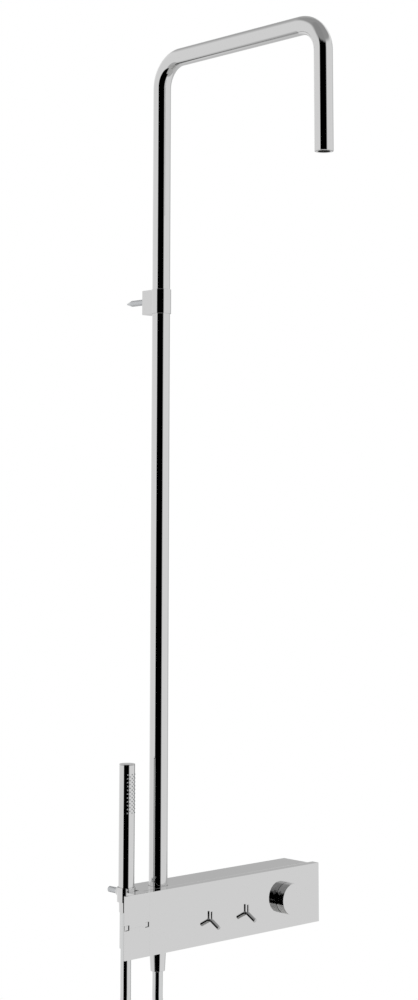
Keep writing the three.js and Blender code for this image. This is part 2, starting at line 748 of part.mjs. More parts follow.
function handShower() {
  const bore = stickRadius - STICK_WALL;
  const tube = turned(
    [
      [hoseWay, stickBottom - spigotLength],
      [spigotRadius, stickBottom - spigotLength],
      [spigotRadius, stickBottom],
      [stickRadius, stickBottom],
      [stickRadius, STICK_TOP - capRim],
      [bore, STICK_TOP - capRim],
      [bore, stickBottom + floorThick],
      [hoseWay, stickBottom + floorThick],
    ],
    SMOOTH,
  );
  const nozzleWindow =
    sector(bore - 1, stickRadius + 1, NOZZLE_LOW, NOZZLE_HIGH, NOZZLE_HALF_ANGLE);
  piece('hand_shower_body', cut(tube, nozzleWindow), CHROME, stickAt);
  const cap = [
    [0, STICK_TOP - capRim - capPlug],
    [bore - GAP, STICK_TOP - capRim - capPlug],
    [bore - GAP, STICK_TOP - capRim + GAP],
    [stickRadius, STICK_TOP - capRim + GAP],
    [stickRadius, STICK_TOP],
    [0, STICK_TOP],
  ];
  piece('hand_shower_cap', turned(cap, SMOOTH), CHROME, stickAt);
  const edge = 2; // degrees of gap at each side of the strip
  const strip = sector(
    bore + GAP / 3,
    stickRadius,
    NOZZLE_LOW + GAP,
    NOZZLE_HIGH - GAP,
    NOZZLE_HALF_ANGLE - edge,
  );
  piece('nozzle_strip', strip, SILICONE, stickAt);
  // Inner sleeve that feeds the nozzles through a row of slots.
  const channelRadius = bore - GAP;
  const channelWall = 1.4;
  const slots = [0, 1, 2, 3];
  const slotPitch = (NOZZLE_HIGH - NOZZLE_LOW) / slots.length;
  const slotHalf = 3;
  const channel = cut(
    turned(
      ring(channelRadius - channelWall, channelRadius, NOZZLE_LOW - 6, NOZZLE_HIGH + 4),
    ),
    ...slots.map((k) => {
      const low = NOZZLE_LOW + slotPitch * k + slotHalf;
      const high = low + slotPitch - 2 * slotHalf;
      return block([-slotHalf, -channelRadius - 1, low], [slotHalf, 0, high]);
    }),
  );
  piece('water_channel', channel, WHITE_PLASTIC, stickAt);

  const nutTop = stickBottom - GAP;
  const nutLow = stickBottom - STICK_NUT_LENGTH;
  const washerSeat = stickBottom - spigotLength - washerThick - 2 * GAP;
  const nutTaper = 0.4;
  const nut = [
    [hoseWay, nutLow],
    [stickNutRadius - nutTaper, nutLow],
    [stickNutRadius, nutTop],
    [spigotRadius + GAP, nutTop],
    [spigotRadius + GAP, washerSeat],
    [hoseWay, washerSeat],
  ];
  piece('hand_shower_nut', turned(nut), CHROME, stickAt);
  const washer = ring(hoseWay, spigotRadius, washerSeat + GAP, stickBottom - spigotLength - GAP);
  piece('hand_shower_washer', turned(washer), RUBBER, stickAt);
}

function handShowerHolder() {
  const bore = stickRadius + SLIP;
  const outer = bore + HOLDER_WALL;
  const strapFront = skinBack - GAP;
  const strapHalf = STRAP_BOLT / 2 + 1;
  const half = STRAP_BOLT / 2 + GAP;
  const footRight = -CASING_LEFT - GAP;
  const strap = block(
    [STRAP_LEFT - strapHalf, -strapFront, -strapHalf],
    [footRight, -strapFront + HOLDER_PLATE, strapHalf],
  );
  const neckTop = casingTop - 2; // hidden behind the panel
  const neckHalf = 5;
  const foot = block(
    [STICK_X - 2 * neckHalf, -strapFront, -strapHalf],
    [footRight, -strapFront + HOLDER_PLATE, neckTop],
  );
  const neck = block(
    [STICK_X - neckHalf, -strapFront + 1, HOLDER_LOW],
    [STICK_X + neckHalf, -TUBE_OFFSET, neckTop],
  );
  const barrel = turned(ring(0, outer, HOLDER_LOW, HOLDER_HIGH), SMOOTH)
    .translate(...stickAt);
  const barrelBack = TUBE_OFFSET - outer;
  const studEnd = barrelBack - 0.5;
  const boss = turned(ring(0, studRadius + 1.7, barrelBack - 4, TUBE_OFFSET), ROUND, 'front')
    .translate(STICK_X, 0, HOLDER_STUD_HEIGHT);
  const studHole = turned(ring(0, studRadius + GAP, 0, studEnd), ROUND, 'front')
    .translate(STICK_X, 0, HOLDER_STUD_HEIGHT);
  const seat = turned(ring(0, bore, HOLDER_LOW + HOLDER_LIP, HOLDER_HIGH + 1), SMOOTH)
    .translate(...stickAt);
  const lipHole = turned(ring(0, stickNutRadius + SLIP, HOLDER_LOW - 1, HOLDER_HIGH), SMOOTH)
    .translate(...stickAt);
  const boltHoles = strapBolts.map(([, x]) =>
    block([x - half, -strapFront - 1, -half], [x + half, -strapFront + HOLDER_PLATE + 1, half]));
  piece(
    'hand_shower_holder',
    cut(join(strap, foot, neck, barrel, boss), seat, lipHole, studHole, ...boltHoles),
    CHROME,
  );
  const tip = 2.5; // length of the stud's tapered end
  const stud = [
    [0, -HOLDER_STUD_IN_WALL],
    [studRadius - 1, -HOLDER_STUD_IN_WALL],
    [studRadius, -HOLDER_STUD_IN_WALL + tip],
    [studRadius, studEnd - GAP],
    [0, studEnd - GAP],
  ];
  piece('holder_stud', turned(stud, ROUND, 'front'), STEEL, [STICK_X, 0, HOLDER_STUD_HEIGHT]);
  const boltSunk = 0.2;
  for (const [side, x] of strapBolts) {
    const r = STRAP_BOLT / 2;
    const bolt = block(
      [x - r, -MIXER_DEPTH + boltSunk, -r],
      [x + r, -strapFront + HOLDER_PLATE, r],
    );
    piece(`holder_bolt_${side}`, bolt, CHROME);
  }
}

// ---------------------------------------------------------------- hose and its fittings

const hoseRadius = HOSE_DIAMETER / 2;
const washerThick = 3;

function mixerOutlet() {
  const at = [0, -TUBE_OFFSET, 0];
  const bore = 6;
  const nutTop = -casingTop - 1;
  const nutLow = nutTop - MIXER_NUT_LENGTH;
  const nippleEnd = nutTop - MIXER_NUT_LENGTH / 2 + 1;
  const shoulder = nippleEnd - washerThick;
  piece('outlet_nipple', turned(ring(bore, outletRadius, nippleEnd, nippleTop - GAP)), BRASS, at);
  const valveLength = 16;
  const valveLow = nippleEnd + 8;
  const valve = ring(2, bore - GAP, valveLow, valveLow + valveLength);
  piece('outlet_check_valve', turned(valve), WHITE_PLASTIC, at);
  const nut = [
    [hoseWay, nutLow],
    [NUT_BOTTOM_RADIUS, nutLow],
    [NUT_TOP_RADIUS, nutTop],
    [outletRadius + GAP, nutTop],
    [outletRadius + GAP, shoulder],
    [hoseWay, shoulder],
  ];
  piece('hose_nut', turned(nut, SMOOTH), CHROME, at);
  const washer = ring(bore - 1, outletRadius, shoulder + GAP, nippleEnd - GAP);
  piece('hose_washer', turned(washer), RUBBER, at);
}

/** The hose: two free runs and the neat coil that the rest of its length is wound into. */
function hose() {
  for (const [name, points] of [['hose_run_handset', HANDSET_RUN], ['hose_run_mixer', MIXER_RUN]]) {
    const route = new THREE.CatmullRomCurve3(points.map((point) => new THREE.Vector3(...point)));
    const steps = Math.ceil(route.getLength() / (2 * HOSE_DIAMETER));
    piece(name, alongPath(route, steps, hoseRadius, 0, SMALL), HOSE_FINISH);
  }
  // Strap round the coil's turns at its lowest point.
  const strapWide = 12;
  const strapThick = 1.6;
  const inside = [hoseRadius + GAP, (COIL_BACK - COIL_FRONT) / 2 + GAP];
  const middle = [COIL_X, (COIL_BACK + COIL_FRONT) / 2, COIL_Z - COIL_RADIUS];
  const sleeve = (grow, wide) =>
    block(
      [-wide / 2, -inside[1] - grow, -inside[0] - grow - 2],
      [wide / 2, inside[1] + grow, inside[0] + grow + 1],
    );
  const strap = cut(sleeve(strapThick, strapWide), sleeve(0, strapWide + 2));
  piece('hose_strap', strap, RUBBER, middle);
  const coil = ring(COIL_RADIUS - hoseRadius, COIL_RADIUS + hoseRadius, -COIL_BACK, -COIL_FRONT);
  piece('hose_coil', turned(coil, SMOOTH, 'front'), HOSE_FINISH, [COIL_X, 0, COIL_Z]);
}

// ---------------------------------------------------------------- assembly

riserTube();
armTube();
tubeSleeve();
headBush();
wallBracket();
frontPanel();
mixerCasing();
backPlate();
panelScrews();
mixerBody();
riserFixing();
supplyUnions();
thermostat();
temperatureKnob();
flowControls();
handShower();
handShowerHolder();
mixerOutlet();
hose();

export default column;
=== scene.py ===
# %% [markdown]
# # Shower column
# A chrome shower column is a good first lesson in hard, shiny things. Nearly every piece is a
# tube, a turned part or a slab, and the finish is a mirror, so the edges and the room around it
# do most of the work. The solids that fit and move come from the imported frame. Here each visible
# solid gets a finer twin with round edges, and hidden solids keep their shape and get a finish.

# %% Load the frame
import json
import math

import bpy
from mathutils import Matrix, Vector


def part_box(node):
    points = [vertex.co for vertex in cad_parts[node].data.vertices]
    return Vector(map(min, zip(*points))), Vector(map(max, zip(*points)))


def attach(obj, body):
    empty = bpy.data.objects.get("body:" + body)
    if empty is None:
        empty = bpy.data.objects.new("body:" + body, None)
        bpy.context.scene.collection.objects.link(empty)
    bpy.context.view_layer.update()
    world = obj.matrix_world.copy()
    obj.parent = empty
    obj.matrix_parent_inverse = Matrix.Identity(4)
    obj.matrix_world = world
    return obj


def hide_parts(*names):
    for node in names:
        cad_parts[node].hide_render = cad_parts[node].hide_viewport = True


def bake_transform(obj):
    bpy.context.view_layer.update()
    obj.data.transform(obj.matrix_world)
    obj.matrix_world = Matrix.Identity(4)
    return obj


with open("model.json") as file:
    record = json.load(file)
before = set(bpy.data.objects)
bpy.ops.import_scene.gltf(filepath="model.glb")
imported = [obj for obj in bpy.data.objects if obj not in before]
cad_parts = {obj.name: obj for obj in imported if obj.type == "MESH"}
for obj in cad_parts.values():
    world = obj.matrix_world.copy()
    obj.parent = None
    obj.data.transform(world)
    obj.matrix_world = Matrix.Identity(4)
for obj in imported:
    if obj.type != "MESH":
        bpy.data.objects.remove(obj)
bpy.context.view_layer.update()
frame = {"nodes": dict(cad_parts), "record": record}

# %% [markdown]
# ## Camera
# The camera stands low on the left and looks up at the arm. Upright edges should stay upright,
# so the lens is shifted down instead of tilting the whole camera to take in the mixer.

# %% Camera
MM = 0.001


def place_camera(where, azimuth, pitch, roll, lens, shift):
    """A camera that looks along an azimuth from +Y towards +X, tilted up by its pitch."""
    data = bpy.data.cameras.new("camera")
    camera = bpy.data.objects.new("camera", data)
    bpy.context.scene.collection.objects.link(camera)
    camera.location = where
    camera.rotation_euler = (
        math.radians(90 + pitch), math.radians(roll), math.radians(-azimuth))
    data.sensor_width = 36
    data.lens = lens
    data.shift_x, data.shift_y = shift
    bpy.context.scene.camera = camera
    return camera


camera = place_camera(
    where=(-1.7522, -1.9976, 0.5264), azimuth=43.13, pitch=8.62, roll=-0.08, lens=68.17,
    shift=(0.0007, -0.27))
bpy.context.scene.view_settings.view_transform = "Standard"
print("camera at", tuple(round(v, 3) for v in camera.location))

# %% [markdown]
# ## Hose
# The hose is a fixed length of something springy, so its line comes before its looks: straight
# down out of each nut, then into one neat coil that takes up the rest of its 1.6 m. The free
# runs are points given one by one and a loop works out the coil. A curve with a round bevel makes
# the tube, and it is turned into a mesh.

# %% The hose's line
HOSE_DIAMETER = 14 * MM
HANDSET_RUN = [
    (-56, -30, 12.7), (-56, -30, -20), (-56, -30, -60), (-56, -30, -100),
    (-56, -27.5, -140), (-56, -20.5, -180), (-56, -15.5, -203.3),
]
MIXER_RUN = [
    (0, -30, -69.3), (0, -30, -85), (0, -30, -105), (0.8, -32.5, -121),
    (4.6, -36.5, -138), (11.3, -41, -152.9), (19.6, -44.5, -164.4), (34.1, -47.5, -177.4),
]
coil_low, coil_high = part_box("hose_coil")
coil_middle = (coil_low + coil_high) / 2
COIL_RADIUS = (coil_high.x - coil_low.x) / 2 - HOSE_DIAMETER / 2
COIL_START = 180  # degrees, where the run from the hand shower meets the coil
COIL_SWEEP = 964.8
COIL_STEP = 15
COIL_BACK = coil_high.y - HOSE_DIAMETER / 2
TURN_PITCH = 14.4 * MM
LINE_PARTS = 4  # stretches of line from one set point to the next


def coil_point(swept):
    """The hose's centre after a number of degrees round the coil."""
    angle = math.radians(COIL_START + swept)
    return Vector((
        coil_middle.x + COIL_RADIUS * math.cos(angle),
        COIL_BACK - TURN_PITCH * swept / 360,
        coil_middle.z + COIL_RADIUS * math.sin(angle)))


def smooth_line(points, parts):
    """Points of the Catmull-Rom curve through a list of points."""
    ends = [2 * points[0] - points[1], *points, 2 * points[-1] - points[-2]]
    line = []
    for before, a, b, after in zip(ends, ends[1:], ends[2:], ends[3:]):
        for i in range(parts):
            t = i / parts
            line.append(0.5 * (
                2 * a + (b - before) * t
                + (2 * before - 5 * a + 4 * b - after) * t ** 2
                + (3 * a - before - 3 * b + after) * t ** 3))
    return line + [points[-1]]


coil_steps = round(COIL_SWEEP / COIL_STEP)
hose_knots = [Vector(p) * MM for p in MIXER_RUN]
hose_knots += [coil_point(COIL_SWEEP * i / coil_steps) for i in range(coil_steps, -1, -1)]
hose_knots += [Vector(p) * MM for p in reversed(HANDSET_RUN)]
hose_line = smooth_line(hose_knots, LINE_PARTS)
hose_measured = sum((b - a).length for a, b in zip(hose_line, hose_line[1:]))
print("hose line:", round(hose_measured, 4), "m in", len(hose_line), "points")

# %% [markdown]
# ## Working by hand in code
# The operators are the ones a hand would use in the window. They act on all that is selected, so
# each helper deselects everything first and then picks what it needs. A finished piece is
# settled: its place goes into its mesh, doubled points are merged, and its faces turn outwards.


# %% Helpers for editing by hand
def deselect():
    """Back to object mode with nothing selected."""
    if bpy.context.mode != "OBJECT":
        bpy.ops.object.mode_set(mode="OBJECT")
    bpy.ops.object.select_all(action="DESELECT")


def work_on(piece):
    """Makes one piece the only selected and active one."""
    deselect()
    piece.select_set(True)
    bpy.context.view_layer.objects.active = piece


def edit(piece, pick="EDGE"):
    """Edit mode on one piece with all of it selected."""
    work_on(piece)
    bpy.ops.object.mode_set(mode="EDIT")
    bpy.ops.mesh.select_mode(type=pick)
    bpy.ops.mesh.select_all(action="SELECT")


def apply_modifier(piece, kind, **settings):
    """Adds a modifier with its settings and applies it at once."""
    work_on(piece)
    modifier = piece.modifiers.new(kind.lower(), kind)
    for name, value in settings.items():
        setattr(modifier, name, value)
    bpy.ops.object.modifier_apply(modifier=modifier.name)


def settle(piece):
    """Puts the object at the origin, unturned and unscaled, and turns its faces outwards."""
    work_on(piece)
    bpy.ops.object.transform_apply(location=True, rotation=True, scale=True)
    edit(piece, "VERT")
    bpy.ops.mesh.remove_doubles(threshold=0.001 * MM)
    bpy.ops.mesh.normals_make_consistent(inside=False)
    deselect()


print("helpers ready")

# %% [markdown]
# ## Turned pieces, slabs and cuts
# Real fittings are turned on a lathe or milled from bar, so two helpers make nearly everything.
# One draws a ring out along a half section, as a lathe would cut it. The other makes a block from
# two corners. Holes are cut with booleans before the edges are rounded, as on the real pieces.


# %% Helpers for the shapes that repeat
FRONT = (math.pi / 2, 0, 0)  # turns a piece made along +Z towards the user
FINE_ROUND = 96  # facets round a piece that is seen close


def turned(name, section, facets=FINE_ROUND, hollow=False, at=(0, 0, 0), turn=(0, 0, 0)):
    """A turned piece: a ring drawn out and resized from point to point of its half section."""
    deselect()
    radius, height = section[0]
    bpy.ops.mesh.primitive_circle_add(
        vertices=facets, radius=radius, fill_type="NOTHING" if hollow else "NGON",
        location=(0, 0, 0))
    piece = bpy.context.object
    piece.name = name
    edit(piece, "EDGE" if hollow else "FACE")
    bpy.ops.transform.translate(value=(0, 0, height))
    for (radius, height), (next_radius, next_height) in zip(section, section[1:]):
        bpy.ops.mesh.extrude_region_move(
            TRANSFORM_OT_translate={"value": (0, 0, next_height - height)})
        grow = next_radius / radius
        bpy.ops.transform.resize(value=(grow, grow, 1), center_override=(0, 0, 0))
    if hollow:
        bpy.ops.mesh.select_all(action="DESELECT")
        bpy.ops.mesh.select_non_manifold()
        bpy.ops.mesh.bridge_edge_loops()
    deselect()
    piece.location = at
    piece.rotation_euler = turn
    settle(piece)
    return piece


def slab(name, low, high):
    """A box from its lowest to its highest corner."""
    deselect()
    low, high = Vector(low), Vector(high)
    bpy.ops.mesh.primitive_cube_add(size=1, location=(low + high) / 2, scale=high - low)
    piece = bpy.context.object
    piece.name = name
    settle(piece)
    return piece


def cut(piece, *tools):
    """Cuts pieces away from a piece."""
    for tool in tools:
        apply_modifier(piece, "BOOLEAN", operation="DIFFERENCE", object=tool, solver="EXACT")
        bpy.data.objects.remove(tool)


def weld(piece, *others):
    """Joins pieces on to a piece as one solid."""
    for other in others:
        apply_modifier(piece, "BOOLEAN", operation="UNION", object=other, solver="EXACT")
        bpy.data.objects.remove(other)


def soften(piece, width, segments=3, angle=30):
    """Rounds the sharp edges, then shades the curves smooth and keeps the flats flat."""
    if width:
        apply_modifier(
            piece, "BEVEL", width=width, segments=segments, limit_method="ANGLE",
            angle_limit=math.radians(angle), use_clamp_overlap=True)
    work_on(piece)
    bpy.ops.object.shade_smooth_by_angle(angle=math.radians(angle + 15))
    apply_modifier(piece, "WEIGHTED_NORMAL", weight=100, keep_sharp=True)


def hand_over(piece, material, body, slot, *nodes):
    """Gives a finished piece its material and its body, and hides the nodes it stands for; its slot
    is not used.
    """
    piece.data.materials.clear()
    piece.data.materials.append(material)
    if body:
        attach(piece, body)
    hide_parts(*nodes)
    print(piece.name, "faces:", len(piece.data.polygons))
    return piece


print("shape helpers ready")

# %% [markdown]
# ## Materials
# Chrome plate is a mirror with almost no colour of its own. Its grey is set by how much light it
# sends back, about six tenths, and a metal keeps the default index of refraction. What shows
# that it is real and not a perfect mirror is a slight unevenness of the polish, so the roughness
# wanders a little. Everything else here is hidden brass, steel, moulded acetal and rubber.


# %% Colour and node helpers
def linear(hex_colour):
    """A linear RGBA colour from an sRGB hex value."""
    parts = [int(hex_colour[i:i + 2], 16) / 255 for i in (1, 3, 5)]
    return tuple(
        c / 12.92 if c <= 0.04045 else ((c + 0.055) / 1.055) ** 2.4 for c in parts) + (1.0,)


def add(tree, kind, inputs=None, **settings):
    """Adds a node with its settings; an input is a value or another node's output."""
    made = tree.nodes.new(kind)
    for name, value in settings.items():
        setattr(made, name, value)
    for name, value in (inputs or {}).items():
        if isinstance(value, bpy.types.NodeSocket):
            tree.links.new(value, made.inputs[name])
        else:
            made.inputs[name].default_value = value
    return made


def start_material(name, colour, metallic, roughness):
    """A new material with its main shader set, its tree and its object coordinates."""
    material = bpy.data.materials.new(name)
    material.use_nodes = True
    tree = material.node_tree
    shader = tree.nodes["Principled BSDF"]
    shader.inputs["Base Color"].default_value = linear(colour)
    shader.inputs["Metallic"].default_value = metallic
    shader.inputs["Roughness"].default_value = roughness
    place = add(tree, "ShaderNodeTexCoord").outputs["Object"]
    return material, tree, shader, place


print("white is", linear("#ffffff"), "and mid grey is", linear("#808080"))


# %% Polished chrome plate
def polished_chrome():
    """Bright nickel and chrome on polished brass: a clean mirror with a faint unevenness."""
    material, tree, shader, place = start_material("polished_chrome_plate", "#cdcdcd", 1, 0.03)
    haze = add(tree, "ShaderNodeTexNoise", {"Vector": place, "Scale": 1 / (20 * MM), "Detail": 3})
    roughness = add(tree, "ShaderNodeMapRange", {
        "Value": haze.outputs["Fac"], "From Min": 0.3, "From Max": 0.7,
        "To Min": 0.025, "To Max": 0.045})
    tree.links.new(roughness.outputs["Result"], shader.inputs["Roughness"])
    return material


CHROME = polished_chrome()
print("made", CHROME.name)


# %% Machined brass
def machined_brass():
    """Brass bar turned on a lathe: warm, satin, with fine tool rings half a millimetre apart."""
    material, tree, shader, place = start_material("machined_brass", "#c9a657", 1, 0.28)
    rings = add(tree, "ShaderNodeTexWave", {
        "Vector": place, "Scale": 0.314 / (0.5 * MM), "Distortion": 0.4, "Detail": 1},
        bands_direction="DIAGONAL")
    bump = add(tree, "ShaderNodeBump", {
        "Height": rings.outputs["Fac"], "Strength": 0.15, "Distance": 0.05 * MM})
    tree.links.new(bump.outputs["Normal"], shader.inputs["Normal"])
    stain = add(tree, "ShaderNodeTexNoise", {"Vector": place, "Scale": 1 / (9 * MM), "Detail": 4})
    tint = add(tree, "ShaderNodeMix", {
        "Factor": stain.outputs["Fac"], "A": linear("#c9a657"), "B": linear("#b08d45")},
        data_type="RGBA")
    tree.links.new(tint.outputs["Result"], shader.inputs["Base Color"])
    return material


BRASS = machined_brass()
print("made", BRASS.name)


# %% Stainless steel
def plain_steel():
    """Drawn and tumbled stainless steel, as on screws and springs: grey with a soft sheen."""
    material, tree, shader, place = start_material("plain_stainless_steel", "#bdbfc1", 1, 0.3)
    grain = add(tree, "ShaderNodeTexNoise", {"Vector": place, "Scale": 1 / (0.8 * MM), "Detail": 4})
    roughness = add(tree, "ShaderNodeMapRange", {
        "Value": grain.outputs["Fac"], "To Min": 0.2, "To Max": 0.42})
    tree.links.new(roughness.outputs["Result"], shader.inputs["Roughness"])
    bump = add(tree, "ShaderNodeBump", {
        "Height": grain.outputs["Fac"], "Strength": 0.1, "Distance": 0.05 * MM})
    tree.links.new(bump.outputs["Normal"], shader.inputs["Normal"])
    return material


STEEL = plain_steel()
print("made", STEEL.name)


# %% Plastics and rubbers
def moulded(name, colour, shade, roughness, grain, strength):
    """A moulded plastic or rubber: two close shades and a fine moulded grain."""
    material, tree, shader, place = start_material(name, colour, 0, roughness)
    cloud = add(tree, "ShaderNodeTexNoise", {"Vector": place, "Scale": 1 / (6 * MM), "Detail": 2})
    tint = add(tree, "ShaderNodeMix", {
        "Factor": cloud.outputs["Fac"], "A": linear(colour), "B": linear(shade)},
        data_type="RGBA")
    tree.links.new(tint.outputs["Result"], shader.inputs["Base Color"])
    pits = add(tree, "ShaderNodeTexNoise", {"Vector": place, "Scale": 1 / grain, "Detail": 2})
    bump = add(tree, "ShaderNodeBump", {
        "Height": pits.outputs["Fac"], "Strength": strength, "Distance": 0.05 * MM})
    tree.links.new(bump.outputs["Normal"], shader.inputs["Normal"])
    return material


ACETAL_WHITE = moulded("white_acetal", "#e6e6e1", "#dcdcd6", 0.35, 0.5 * MM, 0.1)
ACETAL_GREY = moulded("grey_acetal", "#8f9293", "#84878a", 0.4, 0.5 * MM, 0.1)
RUBBER = moulded("black_rubber", "#1c1c1e", "#242426", 0.6, 0.3 * MM, 0.3)
SILICONE = moulded("grey_silicone", "#c3c5c6", "#b7babb", 0.45, 0.4 * MM, 0.1)
print("made", [m.name for m in (ACETAL_WHITE, ACETAL_GREY, RUBBER, SILICONE)])


# %% Silver hose cover
def hose_cover():
    """Clear PVC over a silver spiral: nearly a mirror, with faint rings along the hose."""
    material, tree, shader, _ = start_material("silver_hose_cover", "#cbcccc", 1, 0.05)
    along = add(tree, "ShaderNodeAttribute", attribute_name="along")
    wave = add(tree, "ShaderNodeMath", {0: along.outputs["Fac"], 1: 2 * math.pi / (3 * MM)},
               operation="MULTIPLY")
    rib = add(tree, "ShaderNodeMath", {0: wave.outputs[0]}, operation="SINE")
    bump = add(tree, "ShaderNodeBump", {
        "Height": rib.outputs[0], "Strength": 0.04, "Distance": 0.05 * MM})
    tree.links.new(bump.outputs["Normal"], shader.inputs["Normal"])
    return material


HOSE_COVER = hose_cover()
print("made", HOSE_COVER.name)

# %% [markdown]
# ## Light
# A mirror shows the room, so the room is the light. It is a white tent with a dark flag on the
# left that gives every tube its black core line, and a greyer ceiling. The room is a world
# shader that works out a bearing and a height for each direction and paints soft-edged cards in
# it. The camera itself sees plain white. Cards far away keep their place in every view.


# %% The room
ALL_ROUND = 400
CARDS = [
    # level, bearing from, to, height from, to, softness across, up; degrees, bearing 0 towards -Y
    (0.44, -ALL_ROUND, ALL_ROUND, 45, ALL_ROUND, 1, 20),  # ceiling
    (0.58, -ALL_ROUND, ALL_ROUND, -ALL_ROUND, -43, 1, 8),  # floor
    (0.38, -108, -5, 26, ALL_ROUND, 24, 14),  # canopy over the front, left part
    (0.42, -20, 80, 34, ALL_ROUND, 16, 14),  # and right part
    (0.72, 84, 152, -70, 22, 12, 8),  # grey sheet on the right
    (1.15, 88, 126, 24, 42, 10, 8),  # lamp above that sheet
    (0.57, 125, 152, -5, 62, 8, 8),  # darker sheet behind it
    (0.52, 140, 178, 36, 62, 8, 10),
    (1.20, 152, 176, 4, 26, 8, 8),  # lamp beside the darker sheet
    (0.0, -91, -40, -66, 30, 3, 8),  # black flag, its sharp edge
    (0.0, -60, -11, -66, 30, 12, 8),  # and its soft one
]


def band(tree, value, low, high, soft):
    """One inside a band of a value, zero outside, with soft edges."""
    rise = add(tree, "ShaderNodeMapRange", {
        "Value": value, "From Min": math.radians(low - soft / 2),
        "From Max": math.radians(low + soft / 2)}, interpolation_type="SMOOTHSTEP")
    fall = add(tree, "ShaderNodeMapRange", {
        "Value": value, "From Min": math.radians(high - soft / 2),
        "From Max": math.radians(high + soft / 2), "To Min": 1, "To Max": 0},
        interpolation_type="SMOOTHSTEP")
    both = add(tree, "ShaderNodeMath", {
        0: rise.outputs["Result"], 1: fall.outputs["Result"]}, operation="MULTIPLY")
    return both.outputs[0]


def build_room():
    """The white tent with its cards, as the world."""
    world = bpy.data.worlds.new("studio")
    bpy.context.scene.world = world
    world.use_nodes = True
    tree = world.node_tree
    tree.nodes.clear()
    way = add(tree, "ShaderNodeSeparateXYZ", {
        "Vector": add(tree, "ShaderNodeTexCoord").outputs["Generated"]})
    away = add(tree, "ShaderNodeMath", {0: way.outputs["Y"], 1: -1}, operation="MULTIPLY")
    bearing = add(tree, "ShaderNodeMath", {0: way.outputs["X"], 1: away.outputs[0]},
                  operation="ARCTAN2")
    height = add(tree, "ShaderNodeMath", {0: way.outputs["Z"]}, operation="ARCSINE")
    light = 1.0
    for level, west, east, low, high, soft_across, soft_up in CARDS:
        across = band(tree, bearing.outputs[0], west, east, soft_across)
        up = band(tree, height.outputs[0], low, high, soft_up)
        card = add(tree, "ShaderNodeMath", {0: across, 1: up}, operation="MULTIPLY")
        mixed = add(tree, "ShaderNodeMix", {"Factor": card.outputs[0], "A": light, "B": level})
        light = mixed.outputs["Result"]
    seen = add(tree, "ShaderNodeBackground", {"Color": (1, 1, 1, 1), "Strength": 1})
    room = add(tree, "ShaderNodeBackground", {"Strength": light})
    room.inputs["Color"].default_value = (1, 1, 1, 1)
    chosen = add(tree, "ShaderNodeMixShader", {
        "Fac": add(tree, "ShaderNodeLightPath").outputs["Is Camera Ray"]})
    tree.links.new(room.outputs[0], chosen.inputs[1])
    tree.links.new(seen.outputs[0], chosen.inputs[2])
    output = add(tree, "ShaderNodeOutputWorld")
    tree.links.new(chosen.outputs[0], output.inputs["Surface"])


build_room()
print("cards in the room:", len(CARDS))


# %% Floor and soft light
FLOOR_BELOW = 1.1  # the mixer's middle above the shower floor
FLOOR_SIZE = 2.4
LIT_MIDDLE = Vector((0, -0.2, 0.4))  # where the soft light points


def build_floor():
    """The pale shower floor, far below the column."""
    deselect()
    bpy.ops.mesh.primitive_plane_add(size=FLOOR_SIZE, location=(0, -0.3, -FLOOR_BELOW))
    floor = bpy.context.object
    floor.name = "floor"
    floor.data.materials.append(
        moulded("pale_floor", "#f0f0ee", "#ececea", 0.7, 2 * MM, 0.05))


def soft_light(name, where, size, power):
    """A big soft light from above that mirrors don't show."""
    data = bpy.data.lights.new(name, "AREA")
    data.size = size
    data.energy = power
    lamp = bpy.data.objects.new(name, data)
    bpy.context.scene.collection.objects.link(lamp)
    lamp.location = where
    aim = LIT_MIDDLE - Vector(where)
    lamp.rotation_euler = aim.to_track_quat("-Z", "Y").to_euler()
    lamp.visible_glossy = False
    lamp.visible_camera = False


build_floor()
soft_light("key_light", (1.6, -1.8, 2.6), 1.5, 25)
print("floor at", -FLOOR_BELOW, "m")


# %% [markdown]
# ## Making the hose
# Such a hose is a silver spiral under clear plastic. It could be modelled turn by turn, but its
# ribs hardly show from here, so it is one smooth tube with its length stored on it for the ribs
# in the material.

# %% Make the hose
HOSE_BEVEL_STEPS = 8
HOSE_SIDES = 2 * (HOSE_BEVEL_STEPS + 2)


def build_hose():
    """The hose as a bevelled curve along its line, made a mesh with its length stored on it."""
    data = bpy.data.curves.new("shower_hose", "CURVE")
    data.dimensions = "3D"
    spline = data.splines.new("POLY")
    spline.points.add(len(hose_line) - 1)
    for point, place in zip(spline.points, hose_line):
        point.co = (*place, 1)
    data.bevel_depth = HOSE_DIAMETER / 2
    data.bevel_resolution = HOSE_BEVEL_STEPS
    data.use_fill_caps = True
    hose = bpy.data.objects.new("shower_hose", data)
    bpy.context.scene.collection.objects.link(hose)
    work_on(hose)
    bpy.ops.object.convert(target="MESH")
    hose = bpy.context.object
    travelled = [0.0]
    for a, b in zip(hose_line, hose_line[1:]):
        travelled.append(travelled[-1] + (b - a).length)
    along = hose.data.attributes.new("along", "FLOAT", "POINT")
    for i, item in enumerate(along.data):
        item.value = travelled[min(i // HOSE_SIDES, len(travelled) - 1)]
    bpy.ops.object.shade_smooth_by_angle(angle=math.radians(40))
    return hose


hose = build_hose()
print("hose vertices:", len(hose.data.vertices), "rings:", len(hose_line))
hand_over(hose, HOSE_COVER, None, "hose_cover", "hose_coil", "hose_run_handset", "hose_run_mixer")
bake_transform(hose)

# %% [markdown]
# ## Riser, arm and drop
# The column is one bent tube on the real thing. A circle is extruded straight up for the riser.
# For the arm the same ring is spun round each bend's centre, which gives a true bend with even
# steps, and extruded for the straight stretches. Solidify then gives the wall, and a small bevel
# the rim that shows at the open end.

